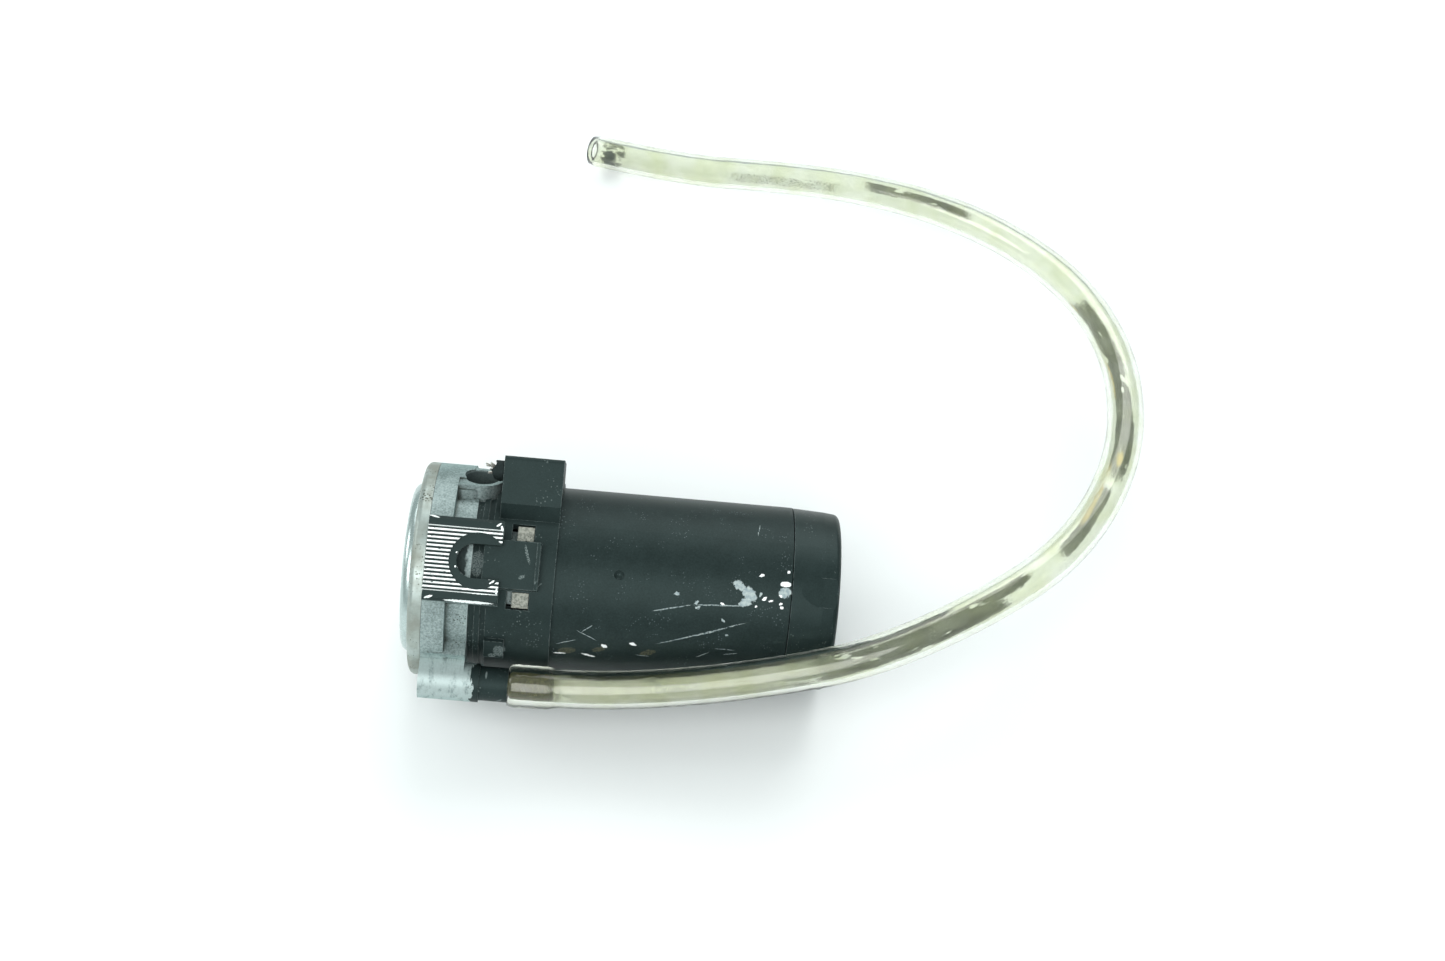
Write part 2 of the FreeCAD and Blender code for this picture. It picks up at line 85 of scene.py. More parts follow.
def addCamera():
    bpy.ops.object.camera_add(location=view["cameraAt"])
    camera = bpy.context.object
    camera.name = "mainCamera"
    camera.rotation_euler = (math.radians(view["tilt"]), 0, math.radians(view["pan"]))
    camera.data.lens = view["lens"]
    camera.data.sensor_width = 36
    camera.data.clip_start = 0.01
    bpy.context.scene.camera = camera


def addLights():
    for name, place, aim, size, watts in studioLights:
        bpy.ops.object.light_add(type="AREA", location=place)
        lamp = bpy.context.object
        lamp.name = name
        lamp.rotation_euler = (Vector(aim) - Vector(place)).to_track_quat("-Z", "Y").to_euler()
        lamp.data.shape = "DISK"
        lamp.data.size = size
        lamp.data.energy = watts
    world = bpy.context.scene.world or bpy.data.worlds.new("studio")
    bpy.context.scene.world = world
    world.use_nodes = True
    tree = world.node_tree
    way = tree.nodes.new("ShaderNodeTexCoord")
    split = tree.nodes.new("ShaderNodeSeparateXYZ")
    shades = tree.nodes.new("ShaderNodeValToRGB")
    tree.links.new(way.outputs["Generated"], split.inputs["Vector"])
    tree.links.new(split.outputs["Z"], shades.inputs["Fac"])
    shades.color_ramp.elements[0].color = view["skyEdge"]
    shades.color_ramp.elements[1].color = view["skyTop"]
    tree.links.new(shades.outputs["Color"], tree.nodes["Background"].inputs["Color"])
    bpy.context.scene.view_settings.view_transform = "Standard"


addCamera()
addLights()
print("camera and lights")


def feed(tree, socket, value):
    if isinstance(value, bpy.types.NodeSocket):
        tree.links.new(value, socket)
    else:
        socket.default_value = value


def put(tree, kind, sockets=None, **settings):
    made = tree.nodes.new("ShaderNode" + kind)
    for name, value in settings.items():
        setattr(made, name, value)
    for name, value in (sockets or {}).items():
        feed(tree, made.inputs[name], value)
    return made


def calc(tree, operation, *values, clamp=False):
    made = put(tree, "Math", operation=operation, use_clamp=clamp)
    for index, value in enumerate(values):
        feed(tree, made.inputs[index], value)
    return made.outputs[0]


def vecCalc(tree, operation, *values):
    made = put(tree, "VectorMath", operation=operation)
    for index, value in enumerate(values):
        feed(tree, made.inputs[index], value)
    return made.outputs["Value" if operation in ("DOT_PRODUCT", "LENGTH", "DISTANCE") else "Vector"]


def step(tree, value, start, full):  # 0 before start, 1 past full
    made = put(tree, "MapRange", {"From Min": start, "From Max": full}, interpolation_type="SMOOTHSTEP")
    feed(tree, made.inputs["Value"], value)
    return made.outputs["Result"]


def mixed(tree, factor, first, second):
    made = put(tree, "Mix", data_type="RGBA")
    feed(tree, made.inputs[0], factor)
    feed(tree, made.inputs[6], first)
    feed(tree, made.inputs[7], second)
    return made.outputs[2]


def noise(tree, place, scale, detail=3.0, rough=0.55):
    return put(tree, "TexNoise", {"Vector": place, "Scale": scale, "Detail": detail,
                                  "Roughness": rough}).outputs["Fac"]


def anyOf(tree, *masks):
    result = masks[0]
    for mask in masks[1:]:
        result = calc(tree, "MAXIMUM", result, mask)
    return result


def allOf(tree, *masks):
    result = masks[0]
    for mask in masks[1:]:
        result = calc(tree, "MULTIPLY", result, mask)
    return result


def flipped(tree, mask):
    return calc(tree, "SUBTRACT", 1.0, mask, clamp=True)


def newGroup(name, takes, gives):  # takes {label: (kind, value)}, gives {label: kind}
    group = bpy.data.node_groups.new(name, "ShaderNodeTree")
    for label, (kind, value) in takes.items():
        socket = group.interface.new_socket(label, in_out="INPUT", socket_type="NodeSocket" + kind)
        socket.default_value = value
    for label, kind in gives.items():
        group.interface.new_socket(label, in_out="OUTPUT", socket_type="NodeSocket" + kind)
    start = group.nodes.new("NodeGroupInput")
    end = group.nodes.new("NodeGroupOutput")
    return group, start.outputs, end.inputs


def use(tree, group, sockets=None):
    made = tree.nodes.new("ShaderNodeGroup")
    made.node_tree = group
    for name, value in (sockets or {}).items():
        feed(tree, made.inputs[name], value)
    return made.outputs


def makeShaftPlace():  # where a point lies on the compressor: station and arc length, in mm
    group, _, gives = newGroup("shaftPlace", {}, {"Station": "Float", "Turn": "Float",
                                                  "Reach": "Float", "Flat": "Vector"})
    spot = vecCalc(group, "SUBTRACT", put(group, "TexCoord").outputs["Object"], coverFace)
    station = calc(group, "MULTIPLY", vecCalc(group, "DOT_PRODUCT", spot, along), 1000.0)
    side = calc(group, "MULTIPLY", vecCalc(group, "DOT_PRODUCT", spot, -across), 1000.0)
    height = calc(group, "MULTIPLY", vecCalc(group, "DOT_PRODUCT", spot, rise), 1000.0)
    turn = calc(group, "ARCTAN2", height, side)
    radial = put(group, "CombineXYZ", {"X": side, "Y": height}).outputs["Vector"]
    flat = put(group, "CombineXYZ", {"X": station, "Y": calc(group, "MULTIPLY", turn, canRadius)})
    group.links.new(station, gives["Station"])
    group.links.new(calc(group, "DEGREES", turn), gives["Turn"])
    group.links.new(vecCalc(group, "LENGTH", radial), gives["Reach"])
    group.links.new(flat.outputs["Vector"], gives["Flat"])
    return group


def makePadPlace():  # station, side and height on a mounting pad, in mm
    group, takes, gives = newGroup(
        "padPlace",
        {"Out": ("Vector", (0, 0, 1)), "Side": ("Vector", (0, 1, 0))},
        {"Flat": "Vector", "Station": "Float", "Side": "Float", "Height": "Float"})
    spot = vecCalc(group, "SUBTRACT", put(group, "TexCoord").outputs["Object"], coverFace)
    values = {}
    for label, way in (("Station", along), ("Side", takes["Side"]), ("Height", takes["Out"])):
        values[label] = calc(group, "MULTIPLY", vecCalc(group, "DOT_PRODUCT", spot, way), 1000.0)
        group.links.new(values[label], gives[label])
    flat = put(group, "CombineXYZ", {"X": values["Station"], "Y": values["Side"]})
    group.links.new(flat.outputs["Vector"], gives["Flat"])
    return group


def makeChip():  # a patch at a place, added to those under it; a long thin one is a scratch
    group, takes, gives = newGroup(
        "chip",
        {"Flat": ("Vector", (0, 0, 0)), "Place": ("Vector", (0, 0, 0)), "Size": ("Vector", (1, 1, 1)),
         "Angle": ("Float", 0.0), "Under": ("Float", 0.0)},
        {"Mask": "Float"})
    moved = vecCalc(group, "SUBTRACT", takes["Flat"], takes["Place"])
    turned = put(group, "VectorRotate", {"Vector": moved, "Angle": takes["Angle"]}, rotation_type="Z_AXIS")
    scaled = vecCalc(group, "DIVIDE", turned.outputs["Vector"], takes["Size"])
    level = vecCalc(group, "MULTIPLY", scaled, (1, 1, 0))
    inside = step(group, vecCalc(group, "LENGTH", level), 1.05, 0.85)
    group.links.new(calc(group, "MAXIMUM", inside, takes["Under"]), gives["Mask"])
    return group


def makeGrain():  # fine surface grain: a shade from 0 to 1, and a height for a bump
    group, takes, gives = newGroup("grain", {"Scale": ("Float", 1500.0), "Stretch": ("Vector", (1, 1, 1))},
                                   {"Shade": "Float", "Height": "Float"})
    spot = put(group, "TexCoord").outputs["Object"]
    spot = vecCalc(group, "MULTIPLY", spot, takes["Stretch"])
    fine = noise(group, spot, takes["Scale"], 4.0, 0.65)
    broad = noise(group, spot, calc(group, "MULTIPLY", takes["Scale"], 0.08), 3.0)
    both = calc(group, "ADD", calc(group, "MULTIPLY", fine, 0.65), calc(group, "MULTIPLY", broad, 0.35))
    group.links.new(step(group, both, 0.34, 0.66), gives["Shade"])
    group.links.new(both, gives["Height"])
    return group


def makeSpecks():  # scattered small spots of dirt or dust
    group, takes, gives = newGroup("specks", {"Scale": ("Float", 900.0), "Amount": ("Float", 0.5)},
                                   {"Mask": "Float"})
    spot = put(group, "TexCoord").outputs["Object"]
    cells = put(group, "TexVoronoi", {"Vector": spot, "Scale": takes["Scale"], "Randomness": 1.0})
    area = noise(group, spot, calc(group, "MULTIPLY", takes["Scale"], 0.11), 2.0)
    limit = calc(group, "MULTIPLY", step(group, area, 0.38, 0.72), takes["Amount"])
    near = calc(group, "SUBTRACT", limit, cells.outputs["Distance"])
    group.links.new(step(group, near, 0.0, 0.08), gives["Mask"])
    return group


def makeEdgeWear():  # ragged wear where a surface turns an edge
    group, takes, gives = newGroup("edgeWear", {"Width": ("Float", 0.0004), "Ragged": ("Float", 900.0),
                                                "Amount": ("Float", 0.5)}, {"Mask": "Float"})
    soft = put(group, "Bevel", {"Radius": takes["Width"]}, samples=8)
    sharp = put(group, "NewGeometry").outputs["Normal"]
    bend = calc(group, "SUBTRACT", 1.0, vecCalc(group, "DOT_PRODUCT", soft.outputs["Normal"], sharp))
    spot = put(group, "TexCoord").outputs["Object"]
    ragged = noise(group, spot, takes["Ragged"], 3.0, 0.7)
    limit = calc(group, "SUBTRACT", 1.0, takes["Amount"])
    broken = step(group, ragged, limit, calc(group, "ADD", limit, 0.18))
    lifted = calc(group, "MULTIPLY", step(group, bend, 0.015, 0.12), broken)
    group.links.new(lifted, gives["Mask"])
    return group


def makeCreviceShade():  # painted shade where surfaces meet: ambient occlusion darkening, broken up by noise
    group, takes, gives = newGroup("creviceShade", {"Distance": ("Float", 0.002)}, {"Mask": "Float"})
    open_ = put(group, "AmbientOcclusion", {"Distance": takes["Distance"]}, samples=8, only_local=True)
    spot = put(group, "TexCoord").outputs["Object"]
    uneven = calc(group, "MULTIPLY", noise(group, spot, 700.0), 0.25)
    broken = calc(group, "ADD", open_.outputs["AO"], uneven)
    group.links.new(step(group, broken, 0.95, 0.55), gives["Mask"])
    return group


shaftPlace = makeShaftPlace()
padPlace = makePadPlace()
chip = makeChip()
grain = makeGrain()
specks = makeSpecks()
edgeWear = makeEdgeWear()
creviceShade = makeCreviceShade()
print("shared effects")


def newMaterial(name):
    material = bpy.data.materials.new(name)
    material.use_nodes = True
    tree = material.node_tree
    shader = tree.nodes["Principled BSDF"]
    return material, tree, shader


def bump(tree, shader, height, strength, depth):
    made = put(tree, "Bump", {"Height": height, "Strength": strength, "Distance": depth})
    tree.links.new(made.outputs["Normal"], shader.inputs["Normal"])


def dress(material, *names):
    for name in names:
        mesh = nodes[name].data
        mesh.materials.clear()
        mesh.materials.append(material)


def chips(tree, flat, marks, ragged=0.6, grainSize=1.6):  # marks: x, y, half length, half width, angle
    wobble = put(tree, "TexNoise", {"Vector": flat, "Scale": grainSize, "Detail": 5.0, "Roughness": 0.65})
    shift = vecCalc(tree, "SUBTRACT", wobble.outputs["Color"], (0.5, 0.5, 0.5))
    warped = vecCalc(tree, "ADD", flat, vecCalc(tree, "MULTIPLY", shift, (ragged, ragged, 0)))
    mask = 0.0
    for x, y, length, width, angle in marks:
        mask = use(tree, chip, {"Flat": warped, "Place": (x, y, 0), "Size": (length, width, 1),
                                "Angle": -math.radians(angle), "Under": mask})["Mask"]
    return mask


def unrolled(turn):  # arc length round the can, in mm
    return math.radians(turn) * canRadius


def onCan(marks):  # station and turn to the flat, unrolled can
    return [(x, unrolled(turn), *size) for x, turn, *size in marks]


def scratchLines(lines):  # a scratch runs through a few (station, turn) points
    marks = []
    for width, *points in lines:
        spots = [Vector((x, unrolled(turn))) for x, turn in points]
        for start, end in zip(spots, spots[1:]):
            middle, way = (start + end) / 2, end - start
            marks.append((middle.x, middle.y, way.length / 2, width, math.degrees(math.atan2(way.y, way.x))))
    return marks


coolSheen = (0.74, 1.0, 0.975, 1)  # the black finishes shine a little green

castHousing = {
    "metal": (0.38, 0.455, 0.45, 1),
    "dull": (0.17, 0.215, 0.21, 1),
    # dirt colour for pits and lugs, also used for the painted shade where surfaces meet
    "stainAndShade": (0.055, 0.06, 0.05, 1),
    "scraped": (0.46, 0.54, 0.53, 1),
    # painted shade for the inside of the inlet port
    "sootAndShade": (0.045, 0.062, 0.061, 1),
    "lug": (0.40, 0.39, 0.33, 1),
    "paint": (0.010, 0.0165, 0.016, 1),
    "portTurn": 118.5,
    "portStation": 19.6,
    "portRadius": 5.0,
    "portFace": 30.3,
    "bright": (0.88, 0.92, 0.91, 1),
    "roughness": (0.40, 0.62),
    "padTurns": (60.0, 244.0),
    "padPaintFloor": 30.9,
    "padStations": (6.8, 28.3),
    "padHalfWidth": 12.0,
    "pocketFloor": 27.2,
    "pocketBottom": 25.6,
    "crestHeight": 32.58,
    "crestHalfWidth": 9.0,
    "outletTurns": (-40.0, 4.0),
    "outletEnd": 24.5,
    "padChips": [  # station, side, half length, half width, angle
        (27.5, 9.5, 0.35, 0.9, 15), (26.5, 10.5, 0.9, 0.25, 40), (27.5, -8, 0.3, 1.0, 0),
        (26, -5.5, 0.9, 0.25, 35), (8.5, 11.5, 1.6, 0.25, -10), (9, -11, 1.3, 0.3, 20),
        (20, -11.5, 7.0, 0.35, 0), (23, -9, 4.6, 0.2, 0),
        (15.5, 2, 0.25, 0.25, 0), (15.5, -2, 0.25, 0.25, 0),
    ],
}


def castAluminium():
    look = castHousing
    material, tree, shader = newMaterial("castAluminium")
    place = use(tree, shaftPlace)
    cast = use(tree, grain, {"Scale": 1700.0})
    pits = use(tree, specks, {"Scale": 1500.0, "Amount": 0.42})["Mask"]
    grimeAndShade = use(tree, creviceShade, {"Distance": 0.0022})["Mask"]
    colour = mixed(tree, cast["Shade"], look["dull"], look["metal"])
    # real pits, three times as dense in the recessed waist as painted shade there
    recess = allOf(tree, step(tree, place["Reach"], 29.2, 28.4), step(tree, place["Station"], 12.9, 13.2))
    pitsAndRecessShade = calc(tree, "ADD", calc(tree, "MULTIPLY", recess, 0.5), 0.25)
    colour = mixed(tree, calc(tree, "MULTIPLY", pits, pitsAndRecessShade), colour, look["stainAndShade"])
    # painted shade: ambient occlusion darkens the casting where surfaces meet
    colour = mixed(tree, calc(tree, "MULTIPLY", grimeAndShade, 0.8), colour, look["stainAndShade"])
    lowTurn, highTurn = look["outletTurns"]
    outletEnd = look["outletEnd"]
    outlet = allOf(tree, step(tree, place["Turn"], highTurn, highTurn - 3.0),
                   step(tree, place["Turn"], lowTurn, lowTurn + 4.0),
                   step(tree, place["Station"], outletEnd, outletEnd - 0.7))
    filed = step(tree, noise(tree, place["Flat"], 0.45, 4.0, 0.7), 0.34, 0.52)
    colour = mixed(tree, calc(tree, "MULTIPLY", allOf(tree, outlet, filed), 0.75), colour, look["scraped"])
    lugs = allOf(tree, step(tree, place["Station"], 29.0, 30.0), step(tree, place["Reach"], 25.0, 26.0))
    colour = mixed(tree, calc(tree, "MULTIPLY", lugs, 0.85), colour, look["lug"])
    grubby = step(tree, noise(tree, place["Flat"], 0.9, 5.0, 0.7), 0.42, 0.60)
    colour = mixed(tree, allOf(tree, lugs, anyOf(tree, pits, calc(tree, "MULTIPLY", grubby, 0.6))),
                   colour, look["stainAndShade"])
    # painted shade inside the inlet port: the bore walls below its face are darkened
    port = use(tree, padPlace, {"Out": outwards(look["portTurn"]), "Side": sideways(look["portTurn"])})
    away = vecCalc(tree, "DISTANCE", port["Flat"], (look["portStation"], 0, 0))
    portShade = allOf(tree, step(tree, away, look["portRadius"] + 0.2, look["portRadius"] + 0.1),
                  step(tree, port["Height"], look["portFace"] - 0.1, look["portFace"] - 0.6))
    colour = mixed(tree, calc(tree, "MULTIPLY", portShade, 0.9), colour, look["sootAndShade"])
    ragged = calc(tree, "MULTIPLY", noise(tree, place["Flat"], 0.5, 5.0, 0.7), 6.0)
    smearEdge = calc(tree, "ADD", place["Station"], ragged)
    smeared = allOf(tree, step(tree, smearEdge, outletEnd + 0.5, outletEnd + 0.9),
                    step(tree, place["Turn"], highTurn + 2.0, highTurn - 1.0),
                    step(tree, place["Turn"], lowTurn, lowTurn + 4.0), step(tree, place["Reach"], 28.6, 29.2))
    painted = []
    crests = []
    first, last = look["padStations"]
    halfWidth, crestHalf = look["padHalfWidth"], look["crestHalfWidth"]
    for turn in look["padTurns"]:
        pad = use(tree, padPlace, {"Out": outwards(turn), "Side": sideways(turn)})
        ragged = noise(tree, pad["Flat"], 1.3, 3.0)
        floor = calc(tree, "ADD", look["padPaintFloor"] - 1.0, calc(tree, "MULTIPLY", ragged, 1.6))
        above = step(tree, calc(tree, "SUBTRACT", pad["Height"], floor), 0.0, 0.15)
        width = step(tree, calc(tree, "ABSOLUTE", pad["Side"]), halfWidth + 0.2, halfWidth)
        reach = allOf(tree, step(tree, pad["Station"], first, first + 0.1),
                      step(tree, pad["Station"], last, last - 0.1))
        painted.append(allOf(tree, above, width, reach))
        uneven = calc(tree, "MULTIPLY", noise(tree, pad["Flat"], 0.7, 4.0), 3.0)
        patch = calc(tree, "ADD", pad["Station"], uneven)
        # black paint and painted shade on the slot pocket floor, before the grey patch
        pocketPaintAndShade = allOf(tree, step(tree, pad["Height"], look["pocketFloor"], look["pocketFloor"] - 0.2),
                       step(tree, pad["Height"], look["pocketBottom"], look["pocketBottom"] + 0.3),
                       step(tree, patch, 20.0, 19.2), width, reach)
        painted.append(calc(tree, "MULTIPLY", pocketPaintAndShade, 0.92))
        gaps = noise(tree, vecCalc(tree, "MULTIPLY", pad["Flat"], (0.5, 1.4, 1)), 1.0, 3.0)
        onCrest = allOf(tree, step(tree, pad["Height"], look["crestHeight"], look["crestHeight"] + 0.14),
                        step(tree, calc(tree, "ABSOLUTE", pad["Side"]), crestHalf + 0.2, crestHalf))
        worn = allOf(tree, onCrest, step(tree, gaps, 0.30, 0.38))
        nicks = allOf(tree, chips(tree, pad["Flat"], look["padChips"], 0.6, 2.2),
                      step(tree, pad["Height"], 30.5, 31.0))
        crests.append(anyOf(tree, worn, nicks))
    painted = anyOf(tree, *painted)
    bare = allOf(tree, anyOf(tree, *crests), painted)
    edge = allOf(tree, use(tree, edgeWear, {"Width": 0.0003, "Amount": 0.42})["Mask"], painted)
    bare = anyOf(tree, bare, calc(tree, "MULTIPLY", edge, 0.7))
    painted = anyOf(tree, painted, smeared)
    colour = mixed(tree, painted, colour, look["paint"])
    colour = mixed(tree, bare, colour, look["bright"])
    coat = allOf(tree, anyOf(tree, painted, lugs, portShade), flipped(tree, bare))
    tree.links.new(colour, shader.inputs["Base Color"])
    tree.links.new(calc(tree, "MULTIPLY", flipped(tree, coat), 0.6), shader.inputs["Metallic"])
    shader.inputs["Specular IOR Level"].default_value = 0.3
    shader.inputs["Specular Tint"].default_value = coolSheen
    low, high = look["roughness"]
    rough = calc(tree, "ADD", low, calc(tree, "MULTIPLY", cast["Height"], high - low))
    tree.links.new(rough, shader.inputs["Roughness"])
    bump(tree, shader, cast["Height"], 0.55, 0.00012)
    return material


steelCover = {
    "zinc": (0.52, 0.61, 0.595, 1),
    "dark": (0.33, 0.40, 0.39, 1),
    "tarnish": (0.235, 0.25, 0.21, 1),
    "dirt": (0.06, 0.062, 0.045, 1),
}


def zincCover():
    look = steelCover
    material, tree, shader = newMaterial("zincPlatedSteel")
    place = use(tree, shaftPlace)
    fine = use(tree, grain, {"Scale": 1100.0})
    marks = use(tree, specks, {"Scale": 1300.0, "Amount": 0.46})["Mask"]
    colour = mixed(tree, calc(tree, "MULTIPLY", fine["Shade"], 0.5), look["zinc"], look["dark"])
    rim = anyOf(tree, step(tree, place["Reach"], 26.5, 29.0), step(tree, place["Station"], 3.4, 4.4))
    patch = step(tree, noise(tree, place["Flat"], 0.10, 4.0), 0.36, 0.62)
    rimDirt = allOf(tree, rim, calc(tree, "ADD", 0.35, calc(tree, "MULTIPLY", patch, 0.55)))
    colour = mixed(tree, rimDirt, colour, look["tarnish"])
    colour = mixed(tree, allOf(tree, marks, calc(tree, "ADD", 0.06, calc(tree, "MULTIPLY", rim, 0.75))),
                   colour, look["dirt"])
    tree.links.new(colour, shader.inputs["Base Color"])
    tree.links.new(calc(tree, "SUBTRACT", 0.95, calc(tree, "MULTIPLY", rimDirt, 0.55)),
                   shader.inputs["Metallic"])
    rough = calc(tree, "ADD", calc(tree, "MULTIPLY", fine["Height"], 0.16),
                 calc(tree, "ADD", 0.20, calc(tree, "MULTIPLY", rimDirt, 0.30)))
    tree.links.new(rough, shader.inputs["Roughness"])
    bump(tree, shader, fine["Height"], 0.25, 0.00006)
    return material


collarPlastic = {
    "base": (0.0080, 0.0140, 0.0135, 1),
    "pale": (0.0150, 0.0245, 0.0240, 1),
    "scrape": (0.20, 0.24, 0.235, 1),
    "scrapes": [  # station, turn, half length, half width, angle
        (35, 66, 0.4, 2.6, 20), (34, 54, 1.0, 0.5, 25), (21, 61, 1.9, 3.2, 0), (21, 56, 1.5, 2.0, 0),
        (38, 52, 0.6, 0.2, 50), (39, 50, 0.9, 0.2, 45), (29, 6, 1.8, 2.2, 10), (27, 2, 1.2, 0.8, 0),
    ],
    "nippleScrapes": [(29, -12, 2.6, 0.25, 35), (26, -2, 0.5, 0.3, 0)],
}


def blackPlastic(name, marks=(), sheen=0.40):
    look = collarPlastic
    material, tree, shader = newMaterial(name)
    place = use(tree, shaftPlace)
    fine = use(tree, grain, {"Scale": 2600.0})
    dust = use(tree, specks, {"Scale": 1100.0, "Amount": 0.30})["Mask"]
    edge = use(tree, edgeWear, {"Width": 0.00035, "Amount": 0.62})["Mask"]
    colour = mixed(tree, fine["Shade"], look["base"], look["pale"])
    if marks:
        torn = step(tree, noise(tree, place["Flat"], 3.0, 4.0, 0.7), 0.40, 0.60)
        scraped = allOf(tree, chips(tree, place["Flat"], onCan(marks), 0.9, 1.2), torn)
        colour = mixed(tree, calc(tree, "MULTIPLY", scraped, 0.8), colour, look["scrape"])
    colour = mixed(tree, calc(tree, "MULTIPLY", dust, 0.35), colour, look["scrape"])
    colour = mixed(tree, calc(tree, "MULTIPLY", edge, 0.5), colour, look["scrape"])
    tree.links.new(colour, shader.inputs["Base Color"])
    shader.inputs["Specular IOR Level"].default_value = 0.25
    shader.inputs["Specular Tint"].default_value = coolSheen
    tree.links.new(calc(tree, "ADD", sheen, calc(tree, "MULTIPLY", fine["Height"], 0.2)),
                   shader.inputs["Roughness"])
    bump(tree, shader, fine["Height"], 0.25, 0.00008)
    return material


paintedCan = {
    "paint": (0.0090, 0.0150, 0.0145, 1),
    "haze": (0.0165, 0.0260, 0.0255, 1),
    "primer": (0.27, 0.33, 0.35, 1),
    "metal": (0.42, 0.48, 0.47, 1),
    "bright": (0.90, 0.92, 0.92, 1),
    "mud": (0.10, 0.095, 0.06, 1),
    "patch": [  # station, turn, half length, half width, angle
        (95, 60, 2.0, 1.3, -30), (98, 55, 2.4, 1.8, -50), (97, 50, 2.0, 1.1, 15),
    ],
    "seamChip": [(108, 58, 2.0, 1.6, 20)],
    "seamChipTop": [(108, 63, 1.6, 0.8, 0)],
    "longScratches": [  # half width, then the (station, turn) points that it runs through
        (0.20, (71, 40), (82, 46), (98, 48)), (0.20, (73, 18), (98, 38)),
    ],
    "scatter": [  # how many, station range, turn range, half length, half width, angle range
        ("whiteChips", 9, (88, 109), (48, 74), (0.3, 0.8), (0.25, 0.5), (-40, 40)),
        ("whiteChips", 4, (44, 74), (-4, 20), (1.0, 2.4), (0.25, 0.6), (-30, 20)),
        ("greyChips", 6, (70, 109), (28, 60), (0.4, 0.9), (0.3, 0.6), (-40, 40)),
        ("scratches", 8, (46, 95), (-2, 30), (1.2, 3.4), (0.10, 0.20), (-30, 40)),
        ("scratches", 1, (70, 100), (75, 100), (0.10, 0.20), (1.5, 3.0), (-20, 20)),
        ("mudMarks", 3, (45, 78), (4, 12), (1.6, 3.0), (0.5, 1.4), (0, 30)),
    ],
    "seed": 5,
}


def scattered(look):  # small marks at random places inside the worn areas
    chance = random.Random(look["seed"])
    marks = {"whiteChips": [], "greyChips": [], "scratches": [], "mudMarks": []}
    for kind, count, *ranges in look["scatter"]:
        marks[kind] += [tuple(chance.uniform(*limits) for limits in ranges) for _ in range(count)]
    return marks


def canPaint():
    look = paintedCan
    material, tree, shader = newMaterial("chippedCanPaint")
    place = use(tree, shaftPlace)
    small = scattered(look)
    fine = use(tree, grain, {"Scale": 2000.0})
    dust = use(tree, specks, {"Scale": 1300.0, "Amount": 0.30})["Mask"]
    colour = mixed(tree, fine["Shade"], look["paint"], look["haze"])
    mud = allOf(tree, chips(tree, place["Flat"], onCan(small["mudMarks"]), 1.2, 1.0),
                step(tree, noise(tree, place["Flat"], 2.2, 4.0, 0.7), 0.38, 0.58))
    colour = mixed(tree, calc(tree, "MULTIPLY", mud, 0.7), colour, look["mud"])
    grey = chips(tree, place["Flat"], onCan(look["patch"] + look["seamChip"] + small["greyChips"]), 2.3, 0.9)
    scratches = scratchLines(look["longScratches"]) + onCan(small["scratches"])
    lines = allOf(tree, chips(tree, place["Flat"], scratches, 0.6, 0.6),
                  step(tree, noise(tree, place["Flat"], 1.5, 3.0, 0.7), 0.36, 0.5))
    white = chips(tree, place["Flat"], onCan(look["seamChipTop"] + small["whiteChips"]), 1.0, 1.4)
    tone = step(tree, noise(tree, place["Flat"], 1.1, 3.0), 0.35, 0.65)
    edge = use(tree, edgeWear, {"Width": 0.0003, "Amount": 0.35})["Mask"]
    colour = mixed(tree, calc(tree, "MULTIPLY", dust, 0.22), colour, look["primer"])
    bareMetal = mixed(tree, tone, look["primer"], look["metal"])
    shown = anyOf(tree, grey, calc(tree, "MULTIPLY", lines, 0.8), calc(tree, "MULTIPLY", edge, 0.4))
    colour = mixed(tree, shown, colour, bareMetal)
    colour = mixed(tree, white, colour, look["bright"])
    tree.links.new(colour, shader.inputs["Base Color"])
    bare = anyOf(tree, grey, white)
    tree.links.new(calc(tree, "MULTIPLY", bare, 0.3), shader.inputs["Metallic"])
    shader.inputs["Specular IOR Level"].default_value = 0.2
    shader.inputs["Specular Tint"].default_value = coolSheen
    rough = calc(tree, "ADD", calc(tree, "MULTIPLY", fine["Height"], 0.12), 0.36)
    tree.links.new(calc(tree, "ADD", rough, calc(tree, "MULTIPLY", bare, 0.15)), shader.inputs["Roughness"])
    height = calc(tree, "SUBTRACT", calc(tree, "MULTIPLY", fine["Height"], 0.5), anyOf(tree, bare, lines))
    bump(tree, shader, height, 0.5, 0.00006)
    return material


